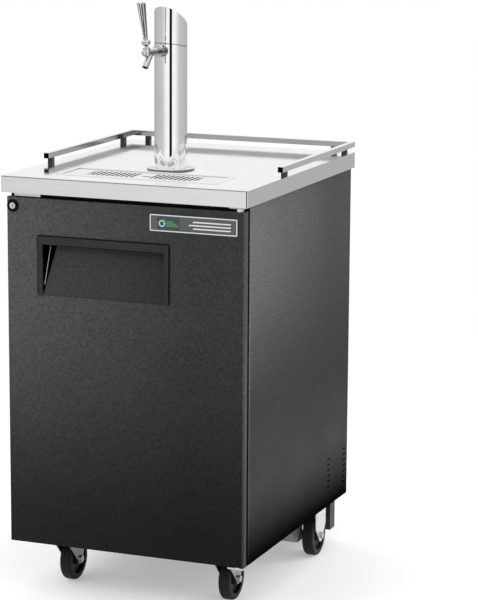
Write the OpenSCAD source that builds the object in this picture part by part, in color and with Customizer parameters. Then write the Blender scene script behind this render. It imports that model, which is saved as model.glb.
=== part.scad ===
// Single-tap keg cooler on casters: a foamed cabinet for one keg, a hinged door,
// a steel worktop with a drip tray and gallery rail, and a draft tower with one faucet.
// Frame: +Z up, +X to the viewer's right, the door faces -Y, origin under the middle of
// the overall box, on the floor.

/* [Worktop] */
// Width of the worktop
counter_w = 606; // [600:1:640]
// Depth of the worktop
counter_d = 720; // [716:1:760]
// Thickness of the worktop slab
counter_t = 38; // [32:1:48]
// Height of the worktop's top face above the floor
counter_h = 992; // [980:1:1060]

/* [Cabinet] */
// Width of the cabinet body
body_w = 590; // [580:1:596]
// Thickness of a foamed wall, outer skin to liner
wall_t = 50; // [44:1:54]
// Height of the machine bay's ceiling above the floor
bay_h = 372; // [350:1:400]
// Thickness of the outer sheet
sheet = 1.5; // [1:0.1:2]

/* [Door] */
// Width of the door
door_w = 588; // [576:1:590]
// Depth of the door's outer pan
door_t = 17; // [16:1:20]
// Gap between the worktop's underside and the door
door_gap = 11; // [10.5:0.5:14]
// Setback of the door's face from the worktop's front edge
door_inset = 10.5; // [9:0.5:14]

/* [Handle and badge] */
// Overall width of the handle surround
handle_w = 328; // [280:1:340]
// Overall height of the handle surround
handle_h = 141; // [138:1:150]
// Width of the badge
badge_w = 211; // [180:1:212]
// Height of the badge
badge_h = 38; // [30:1:40]

/* [Tower and tap] */
// Outer diameter of the draft tower
tower_od = 76.2; // [75:0.1:78]
// Height of the faucet's axis above the worktop
tap_rise = 278; // [276:1:280]
// Turn of the tower cap and faucet about the tower's axis
tap_yaw = -8.5; // [-20:0.5:20]
// Forward lean of the tap handle at rest
lever_lean = 12.5; // [8:0.5:14]

/* [Drip tray] */
// Width of the drip tray's rim
tray_w = 400; // [380:1:420]
// Depth of the drip tray's rim
tray_d = 125; // [120:1:130]

/* [Rail] */
// Size of the gallery rail's square tube
rail_s = 12.7; // [12:0.1:14]

/* [Casters] */
// Diameter of a caster wheel
wheel_d = 102; // [100:1:102]
// Width of a wheel's tread
wheel_w = 28; // [26:1:29]
// Height of the cabinet's underside above the floor
base_z = 127; // [126:1:128]

/* [Hidden] */
$fn = 64;
eps = 0.5;

// levels
top_z = counter_h;
slab_z = counter_h - counter_t;
skin_t = 1.2;
frame_t = 2;
seam = 0.1;
frame_z = base_z + frame_t;

// front-to-back planes
counter_x = counter_w / 2;
counter_y = counter_d / 2;
door_y = -counter_y + door_inset;
door_back_y = door_y + door_t;
gasket_t = 9;
face_y = door_back_y + gasket_t;
back_y = counter_y - 7;

// cabinet, liner and machine bay
body_x = body_w / 2;
in_x = body_x - sheet;
liner_t = 1.5;
liner_x = body_x - wall_t;
liner_y = back_y - wall_t;
liner_z0 = base_z + wall_t;
liner_z1 = slab_z - 48;
step_y = 108;
step_z = bay_h + 46;
bay_y = 155;

// machine cover and pan under the cabinet
cover_x = 265;
cover_y = 318;
cover_z = 34;
pan_x = 236;
pan_y = 160;
pan_z = 41;
pan_end_y = cover_y - 1;

// gas line port
port = [-175, 0, 560];
port_od = 34;
port_id = 26;

// draft tower
tower_x = 6;
tower_y = -97.5;
tower_wall = 1.5;
chase_d = 50;
flange_d = 112;
flange_t = 3.2;
screw_pcd = 94;
seam_z = top_z + 287.5;
seam_tilt = 11;
cap_z = top_z + 349;
cap_tilt = 38;
plug_h = 14;

// faucet, measured from the tower's axis along the tap
tap_z = top_z + tap_rise;
collar_d = 30;
nut_d = 28;
shank_d = 22;
body_d = 18;
shank_end = 52;
neck_r = 55;
nut_end = 60;
front_r = 110;
pivot_r = 104;
pivot_dz = 11;
ball_d = 12;
shaft_d = 9.9;
shaft_bore = 10;
finger_l = 9;
ferrule_d = 20;
spout_r = 301;
spout_a = [34, 42];
spout_c = [85 - spout_r * cos(spout_a[1]), -spout_r * sin(spout_a[1])];
handle_s0 = 21.5;
handle_s1 = 107.5;

// drip tray
tray_y = -230.5;
rim_t = 1.2;
well_w = tray_w - 20;
well_d = tray_d - 20;
well_h = 22;
well_wall = 1.2;
drain_d = 12.7;
drain_z = top_z - 102;
grid_t = 1.5;
slot_pitch = 12;

// gallery rail
rail_z = top_z + 12.5;
rail_x = counter_x - 1 - rail_s / 2;
rail_y0 = -140;
rail_y1 = counter_y - 1 - rail_s / 2;
leg_s = 12;
legs = [[rail_x, -114], [rail_x, 300], [250, rail_y1]];

// door
door_x = door_w / 2;
door_z1 = slab_z - door_gap;
hinge_x = 279;
hinge_y = door_y + 7.5;
pin_d = 8;
bush_d = 15;
plug_x = liner_x - 17;
plug_z0 = liner_z0 + 18;
plug_z1 = liner_z1 - 18;
plug_y = door_back_y + 26.5;
gasket_x = 272;
gasket_w = 20;

// handle pocket
handle_x0 = -216;
handle_z1 = 859;
pocket_x0 = handle_x0 + 12.5;
pocket_x1 = handle_x0 + handle_w - 12.5;
pocket_z0 = handle_z1 - handle_h + 2;
pocket_z1 = handle_z1 - 22;
pocket_y = -325;
lip_y = door_y + 8.5;
pocket_inner = [[door_y - 1, pocket_z0], [door_y, pocket_z0], [pocket_y, pocket_z1 - 7],
                [pocket_y, pocket_z1 + 15], [lip_y, pocket_z1 + 15], [lip_y, pocket_z1],
                [door_y - 1, pocket_z1]];
pocket_outer = [[door_y + skin_t, pocket_z0 - 1.5], [pocket_y + 1.2, pocket_z1 - 7.4],
                [pocket_y + 1.2, pocket_z1 + 16.2], [lip_y - 1.2, pocket_z1 + 16.2],
                [lip_y - 1.2, pocket_z1 + 1.2], [door_y + skin_t, pocket_z1 + 1.2]];

// badge
badge_x0 = 65;
badge_z0 = door_z1 - 55;

// lock
lock_x = -278;
lock_z = 923;
barrel_d = 19.2;
barrel_y = door_y - 3.5;
barrel_end_y = door_y + 11;
plug_d = 12;
cam_l = 28;
cam_w = 12;
cam_t = 2.5;
keeper_x = [-278, -212];

// casters
wheel_r = wheel_d / 2;
front_caster = [204, -232];
trail = 35;
rear_caster = [260, 212];
plate_t = 4;
leg_in = wheel_w / 2 + 2.2;
leg_t = 2.5;
axle_d = 10;
pedal_pivot = [52, 97];

// cooling unit
comp = [-118, 238];
comp_d = 136;
coil_x = [28, 208];
fan_c = [118, 132];
evap_x = 150;
evap_z = [724, 896];
evap_y = 213;
evap_fan = [-45, 810];
knob = [112, 756];

// ---- helpers ----

// box between two limits on each axis
module span(x, y, z) {
    translate([x[0], y[0], z[0]])
        cube([x[1] - x[0], y[1] - y[0], z[1] - z[0]]);
}

module both_sides() {
    children();
    mirror([1, 0, 0]) children();
}

module side_of(s) {
    if (s > 0) children();
    else mirror([1, 0, 0]) children();
}

// plate with rounded vertical edges, centred in X and Y
module rounded_plate(w, d, h, r) {
    linear_extrude(h) {
        square([w - 2 * r, d], center = true);
        square([w, d - 2 * r], center = true);
        for (x = [-1, 1], y = [-1, 1])
            translate([x * (w / 2 - r), y * (d / 2 - r)]) circle(r);
    }
}

// slot with round ends, long along Y
module slot(length, width) {
    square([width, length - width], center = true);
    for (s = [-1, 1])
        translate([0, s * (length - width) / 2]) circle(width / 2);
}

// cylinder along Y from y0 to y1
module rod_y(y0, y1, d) {
    translate([0, y0, 0]) rotate([-90, 0, 0]) cylinder(h = y1 - y0, d = d);
}

// cylinder along X from x0 to x1
module rod_x(x0, x1, d) {
    translate([x0, 0, 0]) rotate([0, 90, 0]) cylinder(h = x1 - x0, d = d);
}

// outline in the Y-Z plane, extruded along X
module plate_x(x0, x1) {
    translate([x0, 0, 0]) rotate([90, 0, 90]) linear_extrude(x1 - x0) children();
}

// ---- cabinet ----

// space taken by the liner, grown by g
module liner_space(g, front) {
    span([-liner_x - g, liner_x + g], [front, step_y + g], [liner_z0 - g, liner_z1 + g]);
    span([-liner_x - g, liner_x + g], [step_y - eps, liner_y + g], [step_z - g, liner_z1 + g]);
}

module tower_hole(z0, z1) {
    translate([tower_x, tower_y, z0]) cylinder(h = z1 - z0, d = chase_d);
}

module drain_hole(z0, z1) {
    translate([0, tray_y, z0]) cylinder(h = z1 - z0, d = drain_d + 3);
}

module port_hole() {
    translate([port[0], 0, port[2]]) rod_y(liner_y - 5, back_y + 5, port_od);
}

// seven louvre slots in two columns near the machine bay
module side_vents() {
    for (y = [217, 330], i = [0:6])
        translate([body_x - 5, y, 162 + 14 * i])
            rotate([90, 0, 90]) linear_extrude(10) rotate(90) slot(20, 4);
}

// side sheets, back sheet, the machine bay's ceiling and wall, and the flanges beside its cover
module cabinet_shell() {
    x = in_x - seam;
    y = back_y - sheet;
    color("dimgray") {
        both_sides() difference() {
            span([in_x, body_x], [face_y, back_y], [base_z, slab_z]);
            side_vents();
        }
        difference() {
            span([-x, x], [y, back_y], [bay_h - sheet, slab_z]);
            port_hole();
        }
        span([-x, x], [bay_y - sheet, y - seam], [bay_h - sheet, bay_h]);
        span([-x, x], [bay_y - sheet, bay_y], [frame_z, bay_h - sheet - seam]);
        both_sides() span([cover_x + 1, x], [y, back_y], [base_z, bay_h - sheet - seam]);
    }
}

module base_frame() {
    color("gray")
    difference() {
        union() {
            span([-in_x, in_x], [face_y + liner_t, back_y - sheet], [base_z, frame_z]);
            both_sides() span([pan_x, in_x - 2], [bay_y + 1, cover_y - 3], [base_z, base_z + 22]);
        }
        translate([0, 0, base_z - 1]) linear_extrude(4)
            polygon([[92 - pan_x, pan_y], [pan_x - 92, pan_y], [pan_x - 6, pan_y + 86],
                     [pan_x - 6, back_y], [6 - pan_x, back_y], [6 - pan_x, pan_y + 86]]);
        span([-cover_x - 1, cover_x + 1], [cover_y - 1, back_y], [base_z - 1, frame_z + 1]);
        both_sides()
            span([pan_x + 2, in_x - 4], [bay_y, cover_y], [frame_z, base_z + 20]);
    }
}

module insulation() {
    color("khaki")
    difference() {
        span([-in_x, in_x], [face_y + liner_t, back_y - sheet], [frame_z, slab_z]);
        liner_space(liner_t, face_y);
        span([-body_x, body_x], [bay_y - sheet, back_y], [base_z, bay_h]);
        tower_hole(liner_z1, slab_z + 1);
        drain_hole(liner_z1, slab_z + 1);
        port_hole();
    }
}

// folded panels with fine seams between them, and the flange that the door closes on
module liner() {
    t = liner_t;
    x = liner_x - seam;
    y0 = face_y + t + seam;
    color("gainsboro")
    difference() {
        union() {
            both_sides() {
                span([liner_x, liner_x + t], [y0, step_y + t], [liner_z0 - t, step_z - t - seam]);
                span([liner_x, liner_x + t], [y0, liner_y + t], [step_z - t, liner_z1 + t]);
                span([liner_x, in_x], [face_y, face_y + t], [liner_z0 + seam, liner_z1 - seam]);
            }
            for (z = [[frame_z, liner_z0], [liner_z1, slab_z]])
                span([-in_x, in_x], [face_y, face_y + t], z);
            span([-x, x], [y0, step_y - seam], [liner_z0 - t, liner_z0]);
            span([-x, x], [step_y, step_y + t], [liner_z0 - t, step_z - t - seam]);
            span([-x, x], [step_y, liner_y - seam], [step_z - t, step_z]);
            span([-x, x], [liner_y, liner_y + t], [step_z - t, liner_z1 - seam]);
            span([-x, x], [y0, liner_y + t], [liner_z1, liner_z1 + t]);
        }
        tower_hole(liner_z1 - 1, slab_z);
        drain_hole(liner_z1 - 1, slab_z);
        port_hole();
    }
}

// ---- worktop ----

module tray_opening(z0, z1) {
    translate([0, tray_y, z0]) rounded_plate(well_w + 3, well_d + 3, z1 - z0, 7);
}

module flange_screws(d, z0, z1) {
    for (a = [45:90:315])
        translate([tower_x, tower_y, z0]) rotate(a + tap_yaw)
            translate([screw_pcd / 2, 0, 0]) cylinder(h = z1 - z0, d = d);
}

module countertop() {
    color("silver")
    difference() {
        translate([0, 0, slab_z]) rounded_plate(counter_w, counter_d, counter_t, 4);
        span([-counter_x + skin_t, counter_x - skin_t], [-counter_y + skin_t, counter_y - skin_t],
             [slab_z - 1, top_z - skin_t]);
        tray_opening(slab_z, top_z + 1);
        tower_hole(slab_z, top_z + 1);
        flange_screws(4.3, top_z - 5, top_z + 1);
    }
}

// a base board, and four strips on it round the tray
module counter_core() {
    x = counter_x - skin_t;
    y = counter_y - skin_t;
    z = top_z - well_h - 1;
    tray_x = well_w / 2 + 1.5;
    tray_y0 = tray_y - well_d / 2 - 1.5;
    tray_y1 = tray_y + well_d / 2 + 1.5;
    color("burlywood")
    difference() {
        union() {
            span([-x, x], [-y, y], [slab_z, z - seam]);
            span([-x, x], [-y, tray_y0], [z, top_z - skin_t]);
            span([-x, x], [tray_y1, y], [z, top_z - skin_t]);
            both_sides() span([tray_x, x], [tray_y0 + seam, tray_y1 - seam], [z, top_z - skin_t]);
        }
        tower_hole(slab_z - 1, top_z);
        drain_hole(slab_z - 1, top_z);
        flange_screws(4.3, top_z - 15, top_z);
    }
}

// tray folded from flat panels with fine seams between them, and its drain stub
module drip_pan() {
    x = well_w / 2;
    y = well_d / 2;
    wall_x = x - well_wall;
    z0 = top_z - well_h;
    wall_z = [z0 + well_wall + seam, top_z - seam];
    rim_z = [top_z, top_z + rim_t];
    color("lightgray")
    translate([0, tray_y, 0]) {
        difference() {
            translate([0, 0, z0]) rounded_plate(well_w, well_d, well_wall, 6);
            translate([0, 0, z0 - 1]) cylinder(h = 5, d = drain_d - 3);
        }
        both_sides() {
            span([wall_x, x], [-y + 6, y - 6], wall_z);
            difference() {
                translate([0, 0, top_z]) rounded_plate(tray_w, tray_d, rim_t, 8);
                span([-tray_w, wall_x], [-tray_d, tray_d], [top_z - 1, top_z + 5]);
            }
        }
        for (s = [0, 1]) mirror([0, s, 0]) {
            span([-x + 6, x - 6], [y - well_wall, y], wall_z);
            span([-wall_x + seam, wall_x - seam], [y - well_wall, tray_d / 2], rim_z);
        }
        both_sides() for (s = [0, 1]) mirror([0, s, 0]) difference() {
            translate([x - 6, y - 6, wall_z[0]]) cylinder(h = wall_z[1] - wall_z[0], r = 6);
            translate([x - 6, y - 6, z0]) cylinder(h = 50, r = 6 - well_wall);
            span([0, x - 6 + seam], [0, y + 1], [z0, top_z + 1]);
            span([0, x + 1], [0, y - 6 + seam], [z0, top_z + 1]);
        }
        difference() {
            translate([0, 0, drain_z]) cylinder(h = z0 - seam - drain_z, d = drain_d);
            translate([0, 0, drain_z - 1]) cylinder(h = 120, d = drain_d - 3);
        }
    }
}

// slot group: i steps of slot_pitch from the tray's middle
module grid_slots() {
    for (i = [2:11])
        translate([slot_pitch * i, tray_y]) slot(i > 10 ? 32 : 62, 5);
}

module drip_grid() {
    grid_w = well_w - 2 * well_wall - 1.6;
    grid_d = well_d - 2 * well_wall - 1.6;
    grid_z = top_z - 0.4 - grid_t;
    floor_z = top_z - well_h + well_wall;
    color("silver")
    difference() {
        union() {
            translate([0, tray_y, grid_z]) rounded_plate(grid_w, grid_d, grid_t, 4);
            for (s = [-1, 1])
                span([s * (grid_w / 2 - 8) - 0.75, s * (grid_w / 2 - 8) + 0.75],
                     [tray_y - 40, tray_y + 40], [floor_z, grid_z + eps]);
        }
        translate([0, 0, grid_z - 1]) linear_extrude(5) {
            grid_slots();
            mirror([1, 0]) grid_slots();
            translate([tower_x, tray_y - 8]) rotate(90) slot(20, 7);
        }
    }
}

module rail_tube(s) {
    h = s / 2;
    z = [rail_z + rail_s / 2 - h, rail_z + rail_s / 2 + h];
    both_sides() span([rail_x - h, rail_x + h], [rail_y0, rail_y1 + h], z);
    span([-rail_x - h, rail_x + h], [rail_y1 - h, rail_y1 + h], z);
}

module gallery_rail() {
    color("silver")
    difference() {
        rail_tube(rail_s);
        rail_tube(rail_s - 2.4);
        both_sides()
            span([rail_x - rail_s / 2 + 1.2, rail_x + rail_s / 2 - 1.2],
                 [rail_y0 - 1, rail_y0 + 5], [rail_z + 1.2, rail_z + rail_s - 1.2]);
    }
}

module rail_legs() {
    color("gray")
    both_sides()
        for (p = legs)
            span([p[0] - leg_s / 2, p[0] + leg_s / 2], [p[1] - leg_s / 2, p[1] + leg_s / 2],
                 [top_z, rail_z]);
}

// ---- draft tower ----

module at_tower(z) {
    translate([tower_x, tower_y, z]) rotate([0, 0, tap_yaw]) children();
}

// half-space above a plane that rises towards the tap
module above(z, tilt) {
    at_tower(z) rotate([-tilt, 0, 0]) translate([-150, -150, 0]) cube([300, 300, 300]);
}

module tower_flange() {
    color("silver")
    difference() {
        translate([tower_x, tower_y, top_z]) cylinder(h = flange_t, d = flange_d);
        tower_hole(top_z - 1, top_z + flange_t + 1);
        flange_screws(4.6, top_z - 1, top_z + flange_t + 1);
    }
}

module tower_screws() {
    color("lightgray") {
        flange_screws(4.2, top_z - 12, top_z + flange_t + eps);
        flange_screws(9, top_z + flange_t, top_z + flange_t + 2.2);
    }
}

module tower_column() {
    color("lightgray")
    difference() {
        at_tower(top_z + flange_t) cylinder(h = 310, d = tower_od, $fn = 96);
        at_tower(top_z + flange_t - 1) cylinder(h = 330, d = tower_od - 2 * tower_wall, $fn = 96);
        above(seam_z, seam_tilt);
        at_tap() rod_y(-60, 0, shank_d + 0.4);
    }
}

module tower_cap() {
    inner_d = tower_od - 2 * tower_wall;
    color("lightgray")
    difference() {
        union() {
            difference() {
                at_tower(seam_z - 60) cylinder(h = 200, d = tower_od, $fn = 96);
                translate([0, 0, -200]) at_seam_block();
            }
            at_tower(seam_z - 10 - plug_h) cylinder(h = plug_h + 24, d = inner_d - 0.2, $fn = 96);
        }
        above(cap_z, cap_tilt);
        difference() {
            at_tower(seam_z - 80) cylinder(h = 220, d = inner_d - 3.2, $fn = 96);
            above(cap_z - 2.4, cap_tilt);
        }
        at_tap() rod_y(-60, 0, collar_d + 1);
        at_tap() span([-collar_d / 2 - 0.5, collar_d / 2 + 0.5], [-60, 0], [-40, 0]);
    }
}

// everything below the seam
module at_seam_block() {
    at_tower(seam_z + 200) rotate([-seam_tilt, 0, 0])
        translate([-150, -150, -300]) cube([300, 300, 300.5]);
}

// ---- tap: local -Y points away from the tower, the tap's axis is z = 0 ----

module at_tap() {
    at_tower(tap_z) children();
}

// local frame of the lever, with +Z along it and the ball's centre at the origin
module at_lever() {
    at_tap() translate([0, -pivot_r, pivot_dz]) rotate([lever_lean, 0, 0]) children();
}

module tap_shank() {
    color("silver")
    difference() {
        at_tap() {
            rod_y(-shank_end, -20, shank_d);
            rod_y(-43, -28, collar_d);
            rod_y(-21, 2, 9);
            for (i = [0:3])
                translate([0, 2 + 4 * i, 0]) rotate([-90, 0, 0]) cylinder(h = 4, d1 = 10.5, d2 = 8.5);
        }
        at_tap() rod_y(-60, 30, 6);
        at_tap() rod_y(-60, -30, shaft_bore);
        difference() {
            at_tower(tap_z - 60) cylinder(h = 120, d = tower_od + 0.1, $fn = 96);
            at_tap() rod_y(-50, 40, shank_d);
        }
    }
}

module coupling_nut() {
    color("silver")
    at_tap()
    difference() {
        rod_y(-nut_end, -44, nut_d);
        rod_y(-neck_r - 0.1, -43, shank_d + 0.1);
        rod_y(-nut_end - 1, -neck_r, body_d + 0.1);
        for (a = [0:45:315])
            rotate([0, a, 0]) translate([0, -48, nut_d / 2]) rod_y(-3, 3, 5);
    }
}

// curved spout: an arc of the given diameter, from a0 up to a1 degrees
module spout_arc(d, a0, a1) {
    translate([0, -spout_c[0], spout_c[1]]) rotate([90, 0, -90]) rotate([0, 0, a0])
        rotate_extrude(angle = a1 - a0) translate([spout_r, 0]) circle(d = d);
}

module faucet_body() {
    color("silver")
    at_tap()
    difference() {
        union() {
            rod_y(-neck_r, -shank_end, shank_d);
            rod_y(-front_r, -shank_end, body_d);
            translate([0, -front_r, 0]) rotate([90, 0, 0]) cylinder(h = 3, d1 = body_d, d2 = 13);
            rod_y(-front_r - 7, -front_r, 12.5);
            translate([0, -front_r - 7, 0]) rotate([90, 0, 0]) cylinder(h = 1.8, d1 = 12.5, d2 = 9);
            translate([0, -pivot_r, 0]) cylinder(h = 9, d = 17);
            spout_arc(15, spout_a[0], spout_a[1]);
        }
        rod_y(-front_r + 2, -shank_end + 1, shaft_bore);
        translate([0, -pivot_r, pivot_dz]) sphere(d = ball_d + 0.8);
        span([-3, 3], [-pivot_r - 4, -pivot_r + 9.5], [0, 12]);
        spout_arc(11, spout_a[0] - 1, spout_a[1]);
    }
}

module faucet_bonnet() {
    color("silver")
    at_tap()
    difference() {
        translate([0, -pivot_r, 9]) cylinder(h = 2, d = 17);
        translate([0, -pivot_r, pivot_dz]) sphere(d = ball_d + 0.8);
        span([-3, 3], [-pivot_r - 4, -pivot_r + 9.5], [0, 10]);
    }
}

module tap_shaft() {
    slot_y = -pivot_r + finger_l * sin(lever_lean);
    color("lightgray")
    at_tap()
    difference() {
        rod_y(-front_r + 3, -62, shaft_d);
        span([-2.6, 2.6], [slot_y - 3.2, slot_y + 3.2], [-1, 6]);
        rod_y(-80, -61, 4);
    }
}

module tap_lever() {
    color("silver")
    at_lever() {
        sphere(d = ball_d);
        cylinder(h = 14, d = 7);
        translate([0, 0, -finger_l]) cylinder(h = finger_l, d = 3.4);
        translate([0, 0, -finger_l]) sphere(d = 4);
        translate([0, 0, 13]) cylinder(h = 8, d = 6);
    }
}

module lever_ferrule() {
    color("silver")
    at_lever()
    difference() {
        union() {
            translate([0, 0, 6.5]) cylinder(h = 3.5, d1 = 13, d2 = ferrule_d);
            translate([0, 0, 10]) cylinder(h = 7, d = ferrule_d);
            translate([0, 0, 17]) cylinder(h = 1.5, d1 = ferrule_d, d2 = 16);
            translate([0, 0, 18.5]) cylinder(h = 3, d = 9);
        }
        translate([0, 0, 5]) cylinder(h = 9, d = 7);
        translate([0, 0, 13]) cylinder(h = 9, d = 6);
    }
}

// tapered handle with six hollow flutes and a domed top
module tap_handle() {
    length = handle_s1 - handle_s0;
    dome = 2.5;
    top_d = 21;
    low_d = 11.5;
    flutes = 6;
    flute_r = 6;
    lean = atan((top_d - low_d) / 2 / length);
    color("silver")
    at_lever() translate([0, 0, handle_s0])
    difference() {
        union() {
            cylinder(h = length - dome, d1 = low_d, d2 = top_d);
            translate([0, 0, length - dome]) cylinder(h = dome, d1 = top_d, d2 = top_d - 5);
        }
        for (i = [0:flutes - 1])
            rotate(360 / flutes * (i + 0.5)) translate([low_d / 2 + flute_r - 1.1, 0, 4])
                rotate([0, lean, 0]) cylinder(h = length, r = flute_r);
    }
}

// ---- door ----

// door pan with rounded front corners, in plan
module door_plan(g) {
    r = 3;
    translate([-door_x + g, door_y + g + r]) square([door_w - 2 * g, door_t - g - r]);
    translate([-door_x + g + r, door_y + g]) square([door_w - 2 * g - 2 * r, door_t - g]);
    for (s = [-1, 1])
        translate([s * (door_x - g - r), door_y + g + r]) circle(r);
}

module at_hinge() {
    translate([hinge_x, hinge_y, 0]) children();
}

// clear space for the lock and its cam inside the door
module lock_space() {
    span([-door_x + skin_t, lock_x + 34], [door_y + skin_t, door_back_y - 1.5],
         [lock_z - 33, door_z1 - skin_t]);
}

module door_skin() {
    color("#3a3c3e")
    difference() {
        translate([0, 0, base_z]) linear_extrude(door_z1 - base_z) door_plan(0);
        difference() {
            translate([0, 0, base_z + skin_t])
                linear_extrude(door_z1 - base_z - 2 * skin_t) door_plan(skin_t);
            span([-door_x, door_x], [door_y - 1, door_y + skin_t], [0, 1000]);
        }
        span([-door_x + skin_t, door_x - skin_t], [door_back_y - eps, door_back_y + 1],
             [base_z + skin_t, door_z1 - skin_t]);
        span([pocket_x0, pocket_x1], [door_y - 1, door_y + 3], [pocket_z0, pocket_z1]);
        translate([lock_x, 0, lock_z]) rod_y(door_y - 1, door_y + 3, barrel_d + 0.2);
        span([lock_x + 3, lock_x + 23], [door_y + 10, door_back_y - 2], [door_z1 - 5, door_z1 + 1]);
        at_hinge() translate([0, 0, base_z - 1]) cylinder(h = 900, d = 12.4);
    }
}

module pocket_volume(g) {
    outline = g > 0 ? pocket_outer : pocket_inner;
    plate_x(pocket_x0 - g, pocket_x1 + g) polygon(outline);
}

module door_foam() {
    color("khaki")
    difference() {
        union() {
            span([-door_x + skin_t, door_x - skin_t], [door_y + skin_t, door_back_y - liner_t],
                 [base_z + skin_t, door_z1 - skin_t]);
            span([-plug_x + liner_t, plug_x - liner_t], [door_back_y - 3, plug_y - liner_t],
                 [plug_z0 + liner_t, plug_z1 - liner_t]);
        }
        pocket_volume(1.2);
        span([pocket_x0, pocket_x1], [door_y, door_y + 5], [pocket_z0, pocket_z1]);
        both_corners();
        lock_space();
        at_hinge() for (z = [base_z, door_z1 - 22])
            translate([0, 0, z]) cylinder(h = 22, d = 12.4);
    }
}

// the front corners of the pan are rounded, so the foam stops short of them
module both_corners() {
    for (s = [-1, 1])
        translate([s * (door_x - skin_t), door_y + skin_t, base_z])
            rotate(45) translate([-2.2, -2.2, 0]) cube([4.4, 4.4, 900]);
}

module door_liner() {
    color("gainsboro")
    difference() {
        union() {
            span([-door_x + skin_t, door_x - skin_t], [door_back_y - liner_t, door_back_y],
                 [base_z + skin_t, door_z1 - skin_t]);
            span([-plug_x, plug_x], [door_back_y - liner_t, plug_y], [plug_z0, plug_z1]);
        }
        span([-plug_x + liner_t, plug_x - liner_t], [door_back_y - 3, plug_y - liner_t],
             [plug_z0 + liner_t, plug_z1 - liner_t]);
    }
}

module gasket_ring(inset, y0, y1) {
    z0 = liner_z0 - 24 + inset;
    z1 = liner_z1 + 24 - inset;
    span([-gasket_x + inset, gasket_x - inset], [y0, y1], [z0, z1]);
}

module door_gasket() {
    color("black")
    difference() {
        gasket_ring(0, door_back_y, face_y - 0.5);
        gasket_ring(gasket_w, door_back_y - 1, face_y);
        difference() {
            gasket_ring(5, door_back_y + 2, door_back_y + 4.5);
            gasket_ring(gasket_w - 5, door_back_y + 1, door_back_y + 5);
        }
    }
}

module door_bushes() {
    color("ivory")
    at_hinge()
    difference() {
        union() {
            translate([0, 0, door_z1]) cylinder(h = 6.3, d = bush_d);
            translate([0, 0, door_z1 - 20]) cylinder(h = 20.5, d = 12.2);
            translate([0, 0, base_z - 1.1]) cylinder(h = 1.1, d = bush_d);
            translate([0, 0, base_z - 1]) cylinder(h = 20, d = 12.2);
        }
        translate([0, 0, base_z - 2]) cylinder(h = 900, d = pin_d + 0.1);
    }
}

module hinge_brackets() {
    plate_top = slab_z - 4.4;
    plate_low = base_z - 5.4;
    color("gray") {
        span([255, 293], [door_y + 1, face_y - 0.1], [plate_top, slab_z]);
        at_hinge() translate([0, 0, door_z1 - 18]) cylinder(h = slab_z - door_z1 + 16, d = pin_d);
        span([255, 293], [door_y + 1, -300], [plate_low, plate_low + 4]);
        span([255, 293], [face_y + 2, -300], [plate_low + 3, base_z]);
        at_hinge() translate([0, 0, plate_low + 2]) cylinder(h = 20, d = pin_d);
    }
}

module handle_trim() {
    leg_w = 12.5;
    low_z = handle_z1 - handle_h + leg_w / 2;
    y = [door_y - 3, door_y];
    x1 = handle_x0 + handle_w;
    color("#26282a") {
        translate([(handle_x0 + x1) / 2, y[1], handle_z1 - 11]) rotate([90, 0, 0])
            rounded_plate(handle_w, 22, 3, 4);
        for (x = [handle_x0 + leg_w / 2, x1 - leg_w / 2]) {
            span([x - leg_w / 2, x + leg_w / 2], y, [low_z, handle_z1 - 12]);
            translate([x, 0, low_z]) rod_y(y[0], y[1], leg_w);
        }
    }
}

module handle_pocket() {
    color("#303234")
    difference() {
        pocket_volume(1.2);
        pocket_volume(0);
    }
}

module badge_plate(inset, y0, y1, r) {
    translate([badge_x0 + badge_w / 2, y1, badge_z0 + badge_h / 2]) rotate([90, 0, 0])
        rounded_plate(badge_w - 2 * inset, badge_h - 2 * inset, y1 - y0, r);
}

module badge_frame() {
    color("silver")
    difference() {
        badge_plate(0, door_y - 3, door_y, 3);
        badge_plate(2.5, door_y - 4, door_y + 1, 1.5);
    }
}

module badge_panel() {
    color("#2c2f33") badge_plate(2.6, door_y - 2, door_y, 1.4);
}

module at_lock() {
    translate([lock_x, 0, lock_z]) children();
}

module lock_barrel() {
    color("silver")
    at_lock()
    difference() {
        union() {
            rod_y(door_y - 1.8, door_y, 29);
            rod_y(barrel_y, barrel_end_y, barrel_d);
        }
        rod_y(barrel_y - 1, barrel_end_y + 1, plug_d + 0.1);
    }
}

// plug with a vertical keyway, and the cam on its inner end at 30 degrees below level
module lock_plug() {
    color("lightgray")
    at_lock() {
        difference() {
            rod_y(barrel_y - 0.3, barrel_end_y + 0.3, plug_d);
            span([-0.8, 0.8], [barrel_y - 1, barrel_y + 8], [-4, 4]);
        }
        translate([0, barrel_end_y + 0.3, 0]) rotate([0, 30, 0]) {
            rod_y(0, cam_t, cam_w + 3);
            span([0, cam_l], [0, cam_t], [-cam_w / 2, cam_w / 2]);
        }
    }
}

module lock_keeper() {
    y0 = door_y + 7.5;
    color("lightgray") {
        span(keeper_x, [y0, y0 + 15], [slab_z - 1.5, slab_z]);
        span(keeper_x, [y0, y0 + 1.7], [door_z1 + 2, slab_z - 1]);
    }
}

// ---- underside and machine bay ----

// pan outline, its two front corners cut back more and more towards the top, shrunk by g
module pan_block(g, z1) {
    lean = atan(sqrt(2));
    difference() {
        span([-pan_x + g, pan_x - g], [pan_y + g, pan_end_y - g], [pan_z + g, z1]);
        both_sides()
            translate([pan_x, pan_y, pan_z + 3]) rotate([0, 0, 45]) rotate([lean - 90, 0, 0])
                translate([-200, g - 200, -200]) cube([400, 200, 400]);
    }
}

module base_pan() {
    color("darkgray")
    difference() {
        pan_block(0, base_z);
        pan_block(sheet, base_z + 1);
    }
}

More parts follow.
